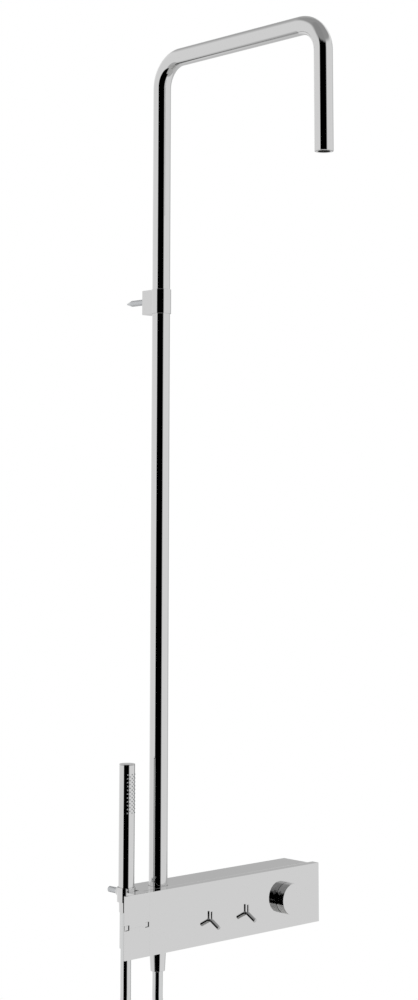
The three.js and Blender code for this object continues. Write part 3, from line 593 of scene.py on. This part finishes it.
# %% Sizes of the column from the frame
riser_low, riser_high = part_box("riser_tube")
arm_low, arm_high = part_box("arm_tube")
TUBE_RADIUS = (riser_high.x - riser_low.x) / 2
TUBE_WALL = 1.5 * MM
TUBE_Y = (riser_low.y + riser_high.y) / 2
DROP_Y = arm_low.y + TUBE_RADIUS
ARM_Z = arm_high.z - TUBE_RADIUS
DROP_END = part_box("head_bush")[0].z
BEND_RADIUS = 40 * MM
BEND_STEPS = 32
print("tube radius", round(TUBE_RADIUS, 5), "arm height", round(ARM_Z, 4))


# %% Riser and arm
def bent_tube(name, start, moves):
    """A tube from a ring: each move is a straight extrusion or a spin about a bend's centre."""
    deselect()
    bpy.ops.mesh.primitive_circle_add(
        vertices=FINE_ROUND, radius=TUBE_RADIUS, location=start)
    tube = bpy.context.object
    tube.name = name
    edit(tube)
    for kind, value in moves:
        if kind == "straight":
            bpy.ops.mesh.extrude_region_move(TRANSFORM_OT_translate={"value": value})
        else:
            bpy.ops.mesh.spin(
                steps=BEND_STEPS, angle=math.radians(90), center=value, axis=(-1, 0, 0))
    deselect()
    settle(tube)
    apply_modifier(tube, "SOLIDIFY", thickness=TUBE_WALL, offset=-1)
    soften(tube, 0.25 * MM, segments=2, angle=60)
    return tube


riser = bent_tube("riser", (0, TUBE_Y, riser_low.z), [
    ("straight", (0, 0, riser_high.z - riser_low.z))])
hand_over(riser, CHROME, "column", "polished_chrome", "riser_tube")

first_centre = (0, TUBE_Y - BEND_RADIUS, ARM_Z - BEND_RADIUS)
second_centre = (0, DROP_Y + BEND_RADIUS, ARM_Z - BEND_RADIUS)
arm = bent_tube("overhead_arm", (0, TUBE_Y, arm_low.z), [
    ("straight", (0, 0, first_centre[2] - arm_low.z)),
    ("bend", first_centre),
    ("straight", (0, second_centre[1] - first_centre[1], 0)),
    ("bend", second_centre),
    ("straight", (0, 0, DROP_END - second_centre[2])),
])
print("arm box", [round(v, 4) for v in arm.bound_box[0]], [round(v, 4) for v in arm.bound_box[6]])
hand_over(arm, CHROME, "column", "polished_chrome", "arm_tube")

# %% [markdown]
# ## Mixer box and mirror panel
# The mixer is a folded and polished box with a thick plate on its front. On a mirror the edge
# rounding is what the eye reads, so each slab is a cube with its real corners and then a small
# bevel: crisp on the plate, softer on the box. The plate's holes are cut before its bevel, so that
# their rims are rounded too, as a buffing wheel leaves them; the box is rounded before its holes
# are cut.

# %% Mixer box
casing_low, casing_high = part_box("mixer_casing")
panel_low, panel_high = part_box("front_panel")
knob_low, knob_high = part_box("temperature_knob")
CASING_WALL = 1.5 * MM
SLIP = 0.5 * MM
GAP = 0.3 * MM
OUTLET_HOLE_RADIUS = 9.5 * MM
spindle_boxes = [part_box("flow_spindle_1"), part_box("flow_spindle_2")]
handle_x = [(low.x + high.x) / 2 for low, high in spindle_boxes]
handle_z = (spindle_boxes[0][0].z + spindle_boxes[0][1].z) / 2
knob_x = (knob_low.x + knob_high.x) / 2


def rod(name, radius, start, end, facets=64, turn=(0, 0, 0)):
    """A plain round bar along its own axis, used for pins and for cutting holes."""
    return turned(name, [(radius, start), (radius, end)], facets, turn=turn)


def moved(piece, x=0, y=0, z=0):
    """Shifts a piece's mesh and leaves its object at the origin."""
    piece.location = (x, y, z)
    work_on(piece)
    bpy.ops.object.transform_apply(location=True)
    return piece


wall = Vector((CASING_WALL, 0, CASING_WALL))
casing = slab("mixer_box", casing_low, casing_high)
soften(casing, 1.2 * MM, segments=4, angle=60)
hollow = slab("hollow", casing_low + wall + Vector((0, -MM, 0)),
              casing_high - wall + Vector((0, MM, 0)))
riser_hole = moved(rod("riser_hole", TUBE_RADIUS + SLIP, 0, casing_high.z + MM), y=TUBE_Y)
outlet_hole = moved(rod("outlet_hole", OUTLET_HOLE_RADIUS, casing_low.z - MM, 0), y=TUBE_Y)
cut(casing, hollow, riser_hole, outlet_hole)
soften(casing, 0)
hand_over(casing, CHROME, "column", "polished_chrome", "mixer_casing")

# %% Mirror panel
PANEL_SKIN = 2 * MM
SKIN_TRIM = 1.2 * MM  # ground off the skin's end
SLOT_LENGTH, SLOT_DEPTH = 2 * MM, 3 * MM  # of the slot in the skin's end
SEAM_LOW, SEAM_HIGH, SEAM_DEPTH = -0.9 * MM, -0.6 * MM, 0.2 * MM
KNOB_HOLE_RADIUS = 6 * MM
HANDLE_HOLE_RADIUS = 1.75 * MM
panel = slab("mirror_panel", (casing_low.x, panel_low.y, panel_low.z), panel_high)
weld(panel, slab("skin", (panel_low.x + SKIN_TRIM, panel_low.y, panel_low.z),
                 (casing_low.x + MM, panel_low.y + PANEL_SKIN, panel_high.z)))
bolt_boxes = [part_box("holder_bolt_left"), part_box("holder_bolt_right")]
for low, high in bolt_boxes:
    cut(panel, slab("bolt_hole", (low.x - GAP, panel_low.y - MM, low.z - GAP),
                    (high.x + GAP, panel_high.y + MM, high.z + GAP)))
left_bolt = bolt_boxes[0][0]
cut(panel, slab("edge_slot", (panel_low.x - MM, panel_low.y - MM, left_bolt.z - GAP),
                (panel_low.x + SLOT_LENGTH, panel_low.y + SLOT_DEPTH, -left_bolt.z + GAP)))
control_holes = [(knob_x, 0, KNOB_HOLE_RADIUS)]
control_holes += [(x, handle_z, HANDLE_HOLE_RADIUS) for x in handle_x]
for x, z, radius in control_holes:
    cut(panel, moved(
        rod("control_hole", radius, -panel_high.y - MM, -panel_low.y + MM, turn=FRONT), x=x, z=z))
seam_from, seam_to = bolt_boxes[0][1].x + GAP, bolt_boxes[1][0].x - GAP
cut(panel, slab("seam", (seam_from, panel_low.y - MM, SEAM_LOW),
                (seam_to, panel_low.y + SEAM_DEPTH, SEAM_HIGH)))
soften(panel, 0.5 * MM, segments=3, angle=60)
hand_over(panel, CHROME, "column", "polished_chrome", "front_panel")

# %% [markdown]
# ## Wall bracket
# One cast block with a collar round the tube, polished all over. A cylinder and a cube are
# joined as one solid, the tube's way is cut through, and the edges are rounded after that.

# %% Wall bracket
bracket_low, bracket_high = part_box("wall_bracket")
hanger_low, hanger_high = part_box("hanger_bolt")
hanger_z = (hanger_low.z + hanger_high.z) / 2
hanger_radius = (hanger_high.x - hanger_low.x) / 2
BRACKET_HALF = 9 * MM
collar_radius = bracket_high.x
bracket = turned("wall_bracket_cast", [
    (collar_radius, bracket_low.z), (collar_radius, bracket_high.z)], at=(0, TUBE_Y, 0))
weld(bracket, slab("block", (-BRACKET_HALF, TUBE_Y, bracket_low.z),
                   (BRACKET_HALF, 0, bracket_high.z)))
cut(bracket,
    moved(rod("tube_way", TUBE_RADIUS + GAP, bracket_low.z - MM, bracket_high.z + MM,
              FINE_ROUND), y=TUBE_Y),
    moved(rod("bolt_way", hanger_radius + GAP, -MM, -hanger_low.y + GAP, turn=FRONT), z=hanger_z))
soften(bracket, 0.4 * MM, segments=3, angle=50)
hand_over(bracket, CHROME, "column", "polished_chrome", "wall_bracket")

# %% [markdown]
# ### Hanger bolt
# A hanger bolt is half wood screw: it has a pointed end for the wall. A true thread is a helix,
# but at this size closed ridges look the same and keep the mesh a clean turned piece.

# %% Hanger bolt
POINT_TIP = 0.25  # the point's end as a share of the root
RIDGE_FLAT = 0.1  # of the pitch: how wide a ridge's crest is, and how far its root is shifted
HANGER_PITCH = 2.6 * MM
HANGER_DEPTH = 0.3 * MM
HANGER_POINT = 10 * MM


def threaded(name, root, crest, pitch, start, end, point=0, turn=(0, 0, 0), at=(0, 0, 0)):
    """A screw: thread ridges along a bar, with a tapered end at the start when a point is given."""
    section = [(POINT_TIP * root, start), (root, start + point)] if point else [(root, start)]
    height = start + point + pitch / 2
    while height + pitch / 2 < end:
        section += [
            (root, height - pitch / 2 + RIDGE_FLAT * pitch),
            (crest, height), (crest, height + RIDGE_FLAT * pitch)]
        height += pitch
    section += [(root, height - pitch / 2 + RIDGE_FLAT * pitch), (root, end)]
    return turned(name, section, 48, turn=turn, at=at)


hanger = threaded(
    "hanger_screw", hanger_radius - HANGER_DEPTH, hanger_radius, HANGER_PITCH,
    -hanger_high.y, -hanger_low.y, point=HANGER_POINT, turn=FRONT, at=(0, 0, hanger_z))
soften(hanger, 0)
hand_over(hanger, STEEL, "column", "steel", "hanger_bolt")

# %% [markdown]
# ## Hand shower
# A slim stick turned from bar, standing in a short collar. It is three turned pieces: the tube
# with the spigot at its foot, a cap pressed into its top, and the nut that the hose ends in. Each
# is hollow where the real one is, so a cross-section shows the water's way.

# %% Sizes of the hand shower from the frame
stick_low, stick_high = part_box("hand_shower_body")
cap_low, cap_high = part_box("hand_shower_cap")
strip_low, strip_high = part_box("nozzle_strip")
nut_low, nut_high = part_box("hand_shower_nut")
STICK_RADIUS = (cap_high.x - cap_low.x) / 2
stick_x = (cap_low.x + cap_high.x) / 2
stick_at = (stick_x, TUBE_Y, 0)
STICK_WALL = 1.8 * MM
stick_bore = STICK_RADIUS - STICK_WALL
SPIGOT_RADIUS = 6.5 * MM
SPIGOT_LENGTH = 8 * MM
WATER_WAY = 4 * MM
FOOT_WALL = 4 * MM
stick_foot = stick_low.z + SPIGOT_LENGTH
hand_nut_radius = STICK_RADIUS - 0.8 * MM
hand_nut_foot_radius = STICK_RADIUS - 1.2 * MM
hand_nut_seat = stick_low.z - 3.3 * MM  # the washer's face, under the spigot
print("hand shower:", round(cap_high.z - nut_low.z, 4), "m long with its nut")

# %% Stick, cap and nut
stick = turned("hand_shower_tube", [
    (WATER_WAY, stick_low.z), (SPIGOT_RADIUS, stick_low.z), (SPIGOT_RADIUS, stick_foot),
    (STICK_RADIUS, stick_foot), (STICK_RADIUS, stick_high.z), (stick_bore, stick_high.z),
    (stick_bore, stick_foot + FOOT_WALL), (WATER_WAY, stick_foot + FOOT_WALL),
], hollow=True, at=stick_at)
soften(stick, 0.15 * MM, segments=2)
hand_over(stick, CHROME, "hand_shower", "polished_chrome", "hand_shower_body")

cap = turned("hand_shower_end_cap", [
    (stick_bore - GAP, cap_low.z), (stick_bore - GAP, stick_high.z + GAP),
    (STICK_RADIUS, stick_high.z + GAP), (STICK_RADIUS, cap_high.z),
], at=stick_at)
soften(cap, 0.3 * MM)
hand_over(cap, CHROME, "hand_shower", "polished_chrome", "hand_shower_cap")

nut = turned("hand_shower_union_nut", [
    (WATER_WAY, nut_low.z), (hand_nut_foot_radius, nut_low.z),
    (hand_nut_radius, nut_high.z), (SPIGOT_RADIUS + GAP, nut_high.z),
    (SPIGOT_RADIUS + GAP, hand_nut_seat), (WATER_WAY, hand_nut_seat),
], hollow=True, at=stick_at)
soften(nut, 0.3 * MM)
hand_over(nut, CHROME, "hand_shower_nut", "polished_chrome", "hand_shower_nut")

# %% [markdown]
# ### Nozzles
# The jets are nubs of soft silicone that stand out of the stick's face, so that lime can be
# rubbed off. They could be an array, but rows round a tube are easier to see as a loop: one small
# cone is turned, copied to each place, and all of them are joined. Every other column is half a
# step higher, so the rows step.

# %% Nozzles
NOZZLE_PITCH = 4.9 * MM  # from row to row in one column
NOZZLE_ANGLES = (-36, -18, 0, 18, 36)  # degrees from the user's direction
NOZZLE_RADIUS = 0.95 * MM
NOZZLE_PROUD = 0.7 * MM
NOZZLE_SHOULDER = 0.2  # of its height above the face, straight before it tapers
NOZZLE_TIP = 0.6  # of its radius, at the tip
NOZZLE_FACETS = 12


def build_nozzles():
    """The silicone nubs, one for each hole, set into the stick's face and joined as one piece."""
    nub = turned("nozzle_nub", [
        (NOZZLE_RADIUS, STICK_RADIUS - STICK_WALL),
        (NOZZLE_RADIUS, STICK_RADIUS + NOZZLE_SHOULDER * NOZZLE_PROUD),
        (NOZZLE_TIP * NOZZLE_RADIUS, STICK_RADIUS + NOZZLE_PROUD)], NOZZLE_FACETS, turn=FRONT)
    nubs = []
    for column, angle in enumerate(NOZZLE_ANGLES):
        height = strip_low.z + NOZZLE_PITCH * (0.5 + 0.5 * (column % 2))
        while height < strip_high.z - NOZZLE_RADIUS:
            copy = nub.copy()
            copy.data = nub.data.copy()
            bpy.context.scene.collection.objects.link(copy)
            copy.rotation_euler = (0, 0, math.radians(angle))
            copy.location = (stick_x, TUBE_Y, height)
            nubs.append(copy)
            height += NOZZLE_PITCH
    bpy.data.objects.remove(nub)
    deselect()
    for copy in nubs:
        copy.select_set(True)
    bpy.context.view_layer.objects.active = nubs[0]
    bpy.ops.object.join()
    strip = bpy.context.object
    strip.name = "nozzle_nubs"
    settle(strip)
    soften(strip, 0)
    print("nozzles:", len(nubs))
    return strip


hand_over(build_nozzles(), SILICONE, "hand_shower", "silicone", "nozzle_strip")

# %% [markdown]
# ### Holder
# The hand shower stands in a short collar on a neck, and a strap behind the mirror skin carries
# it. Such a holder is usually cast or welded up, then polished as one piece. So the parts are
# made as slabs and turned pieces, joined as one solid, and only then bored and rounded.

# %% Sizes of the holder
holder_low, holder_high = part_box("hand_shower_holder")
stud_low, stud_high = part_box("holder_stud")
stud_z = (stud_low.z + stud_high.z) / 2
HOLDER_LOW = 26.5 * MM
HOLDER_LIP = 1.5 * MM
HOLDER_WALL = 1.2 * MM
BOSS_RADIUS = 5.5 * MM
BOSS_OVERLAP = 4 * MM  # how far the boss runs into the collar
STUD_WAY_RADIUS = 4.1 * MM
holder_bore = STICK_RADIUS + SLIP
holder_outer = holder_bore + HOLDER_WALL
HOLDER_PLATE = 2.7 * MM
NECK_HALF = 5 * MM
plate_front = panel_low.y + PANEL_SKIN + GAP
plate_back = plate_front + HOLDER_PLATE
plate_right = casing_low.x - GAP
neck_top = panel_high.z - 2 * MM
print("holder bore", round(2 * holder_bore, 5), "m, plate", round(HOLDER_PLATE, 5), "m")


# %% Holder
def build_holder():
    """The collar, its neck, its wall boss and the foot behind the panel as one polished piece."""
    strap = slab("strap", (holder_low.x, plate_front, holder_low.z),
                 (plate_right, plate_back, -holder_low.z))
    foot = slab("foot", (stick_x - 2 * NECK_HALF, plate_front, holder_low.z),
                (plate_right, plate_back, neck_top))
    holder = turned("hand_shower_collar", [
        (holder_outer, HOLDER_LOW), (holder_outer, holder_high.z)], at=stick_at)
    weld(holder,
         slab("neck", (stick_x - NECK_HALF, plate_front + MM, HOLDER_LOW),
              (stick_x + NECK_HALF, TUBE_Y, neck_top)),
         foot, strap,
         slab("web", (stick_x - 2 * NECK_HALF, plate_front, HOLDER_LOW),
              (plate_right, TUBE_Y - holder_outer, panel_high.z)),
         moved(rod("boss", BOSS_RADIUS, -TUBE_Y - holder_outer - BOSS_OVERLAP, -TUBE_Y, turn=FRONT),
               x=stick_x, z=stud_z))
    seat = rod("seat", holder_bore, HOLDER_LOW + HOLDER_LIP, holder_high.z + MM, FINE_ROUND)
    way = rod("way", hand_nut_radius + SLIP, HOLDER_LOW - MM, holder_high.z, FINE_ROUND)
    stud_way = rod("stud_way", STUD_WAY_RADIUS, -MM, -stud_low.y, turn=FRONT)
    cut(holder, moved(seat, *stick_at), moved(way, *stick_at),
        moved(stud_way, x=stick_x, z=stud_z))
    for low, high in bolt_boxes:
        cut(holder, slab("bolt_hole", (low.x - GAP, panel_low.y, low.z - GAP),
                         (high.x + GAP, plate_back + MM, high.z + GAP)))
    soften(holder, 0.3 * MM, segments=2, angle=50)
    return holder


hand_over(build_holder(), CHROME, "column", "polished_chrome", "hand_shower_holder")

# %% Holder's stud and bolts
STUD_ROOT, STUD_CREST = 3.6 * MM, 3.8 * MM
STUD_PITCH = 1.2 * MM
STUD_POINT = 2.5 * MM
stud = threaded(
    "holder_stud_screw", STUD_ROOT, STUD_CREST, STUD_PITCH, -stud_high.y, -stud_low.y,
    point=STUD_POINT, turn=FRONT, at=(stick_x, 0, stud_z))
soften(stud, 0)
hand_over(stud, STEEL, "column", "steel", "holder_stud")
for side, (low, high) in zip(("left", "right"), bolt_boxes):
    bolt = slab(f"holder_bolt_head_{side}", low + Vector((0, MM, 0)), high)
    soften(bolt, 0.4 * MM)
    hand_over(bolt, CHROME, "column", "polished_chrome", f"holder_bolt_{side}")

# %% [markdown]
# ## Controls
# The knob is a short drum with fine rings turned into its side, which give the fingers grip.
# They could be bump in the material, but a ring's edge catches the light, so they are cut: the
# half section of the drum is worked out with one groove per ring, then turned. A catch in the
# drum's side has to be pressed before the water can be turned hotter.

# %% Sizes of the knob and its catch
KNOB_RADIUS = (knob_high.x - knob_low.x) / 2
knob_back = -knob_high.y
knob_front = -knob_low.y
KNOB_WALL = 3.5 * MM
KNOB_FACE = 3 * MM
SPINDLE_RADIUS = 3 * MM
HUB_WALL = 5 * MM
AXIS = 0.02 * MM  # a ring can't shrink to nothing, so the middle is a pinhole
RING_PITCH = 1.5 * MM
RING_DEPTH = 0.18 * MM
BUTTON_ANGLE = 152  # degrees round the knob's axis
BUTTON_DEPTH = 5 * MM
BUTTON_PROUD = 0.2 * MM
BUTTON_RADIUS = 2.2 * MM
BUTTON_WAY_RADIUS = 2.45 * MM
BUTTON_TAIL = 2.5 * MM  # its end inside the drum's wall
print("knob:", round(2 * KNOB_RADIUS, 4), "m across,", round(knob_front - knob_back, 4), "m deep")


# %% The knob's half section
def knob_section():
    """The drum's half section with its ring grooves, from the spindle's way round to the face."""
    hub = SPINDLE_RADIUS + HUB_WALL
    inner = KNOB_RADIUS - KNOB_WALL
    section = [
        (SPINDLE_RADIUS + GAP, knob_back), (hub, knob_back), (hub, knob_front - KNOB_FACE),
        (inner, knob_front - KNOB_FACE), (inner, knob_back), (KNOB_RADIUS, knob_back)]
    height = knob_back + RING_PITCH
    while height < knob_front - 1.5 * RING_PITCH:
        section += [
            (KNOB_RADIUS, height),
            (KNOB_RADIUS - RING_DEPTH, height + 0.15 * RING_PITCH),
            (KNOB_RADIUS - RING_DEPTH, height + 0.3 * RING_PITCH),
            (KNOB_RADIUS, height + 0.45 * RING_PITCH)]
        height += RING_PITCH
    return section + [
        (KNOB_RADIUS, knob_front), (AXIS, knob_front), (AXIS, knob_front - KNOB_FACE),
        (SPINDLE_RADIUS + GAP, knob_front - KNOB_FACE)]


print("knob section points:", len(knob_section()))

# %% Temperature knob and safety catch
knob = turned("temperature_drum", knob_section(), hollow=True, turn=FRONT, at=(knob_x, 0, 0))
button_y = panel_low.y - BUTTON_DEPTH
button_turn = (0, -math.radians(BUTTON_ANGLE), 0)
catch_inside = KNOB_RADIUS - KNOB_WALL


def button_rod(name, radius, start, end):
    """A bar that lies along the safety button's line of travel."""
    piece = rod(name, radius, start, end, 32, turn=(0, math.radians(90), 0))
    piece.rotation_euler = button_turn
    work_on(piece)
    bpy.ops.object.transform_apply(rotation=True)
    return moved(piece, knob_x, button_y)


cut(knob, button_rod("button_way", BUTTON_WAY_RADIUS, catch_inside - MM, KNOB_RADIUS + MM))
soften(knob, 0.12 * MM, segments=2, angle=35)
hand_over(knob, CHROME, "temperature_control", "polished_chrome", "temperature_knob")
button = button_rod(
    "safety_catch", BUTTON_RADIUS, catch_inside - BUTTON_TAIL, KNOB_RADIUS + BUTTON_PROUD)
soften(button, 0.3 * MM)
hand_over(button, CHROME, "safety_button", "polished_chrome", "safety_button")

# %% [markdown]
# ### Flow handles
# Each is one round rod with an elbow: a short arm stands up along the panel and the lever comes
# out and droops. In the mirror behind it the lever has a twin, so the eye reads three arms. The
# elbow could be a bend, but at this size a ball where the two bars meet looks the same.

# %% Flow handles
ROD_RADIUS = 2.7 * MM
UPRIGHT_RADIUS = 1.4 * MM
UPRIGHT = 12 * MM
LEVER = 16 * MM
DROOP = 28  # degrees below straight out
ROD_STANDOFF = 3.2 * MM  # from the panel's face to the rod's middle
GRUB_WAY_RADIUS = 1.05 * MM
SPINDLE_REACH = 5 * MM
rod_line = panel_low.y - ROD_STANDOFF
spindle_radius = (spindle_boxes[0][1].x - spindle_boxes[0][0].x) / 2


def build_handle(name, x):
    """An upright arm, a drooping lever and a ball at their elbow, welded, with round tips."""
    handle = rod(name, UPRIGHT_RADIUS, 0, UPRIGHT, 48)
    soften(handle, 0.4 * MM, segments=4)
    lever = rod("lever", ROD_RADIUS, 0, LEVER, 48)
    soften(lever, 0.7 * MM, segments=4)
    work_on(lever)
    lever.rotation_euler = (math.radians(90 + DROOP), 0, 0)
    bpy.ops.object.transform_apply(rotation=True)
    deselect()
    bpy.ops.mesh.primitive_uv_sphere_add(segments=48, ring_count=24, radius=ROD_RADIUS)
    weld(handle, lever, bpy.context.object)
    cut(handle, rod("spindle_way", spindle_radius + GAP, -SPINDLE_REACH, GAP, 32, turn=FRONT),
        rod("grub_way", GRUB_WAY_RADIUS, -2 * ROD_RADIUS, -spindle_radius, 24))
    moved(handle, x, rod_line, handle_z)
    soften(handle, 0, angle=40)
    return handle


for number, x in enumerate(handle_x, 1):
    hand_over(build_handle(f"quarter_turn_lever_{number}", x), CHROME,
              f"flow_control_{number}", "polished_chrome", f"flow_handle_{number}")

# %% [markdown]
# ### Hose nut
# The nut under the mixer is a plain tapered ring without flats, so it is one turned half section:
# up its outside, across its top, and back down the bore that the outlet's nipple stands in.

# %% Mixer's hose nut
HOSE_NUT_FOOT_RADIUS = 9.6 * MM
HOSE_NUT_BORE_RADIUS = 9.3 * MM
hose_nut_low, hose_nut_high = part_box("hose_nut")
nipple_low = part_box("outlet_nipple")[0]
nut_top_radius = hose_nut_high.x
nut_seat = nipple_low.z - 3 * MM  # the washer's face, under the nipple
hose_nut = turned("hose_union_nut", [
    (WATER_WAY, hose_nut_low.z), (HOSE_NUT_FOOT_RADIUS, hose_nut_low.z),
    (nut_top_radius, hose_nut_high.z), (HOSE_NUT_BORE_RADIUS, hose_nut_high.z),
    (HOSE_NUT_BORE_RADIUS, nut_seat), (WATER_WAY, nut_seat),
], hollow=True, at=(0, TUBE_Y, 0))
soften(hose_nut, 0.35 * MM)
hand_over(hose_nut, CHROME, "column", "polished_chrome", "hose_nut")

# %% [markdown]
# ## Finishes for the frame's own solids
# Hidden pieces keep their own shape. A cross-section, an exploded view or a look from behind
# still shows them, so every solid of the frame gets the finish of what it is made of, picked by
# its slot. The ones that a finer twin stands for get theirs in the same loop.

# %% Finishes by slot
FINISHES = {
    "polished_chrome": CHROME, "brass": BRASS, "steel": STEEL, "rubber": RUBBER,
    "white_plastic": ACETAL_WHITE, "grey_plastic": ACETAL_GREY, "silicone": SILICONE,
    "hose_cover": HOSE_COVER,
}
for subpart in frame["record"]["subparts"]:
    piece = frame["nodes"][subpart["node"]]
    piece.data.materials.clear()
    piece.data.materials.append(FINISHES[subpart["material_slot"]])
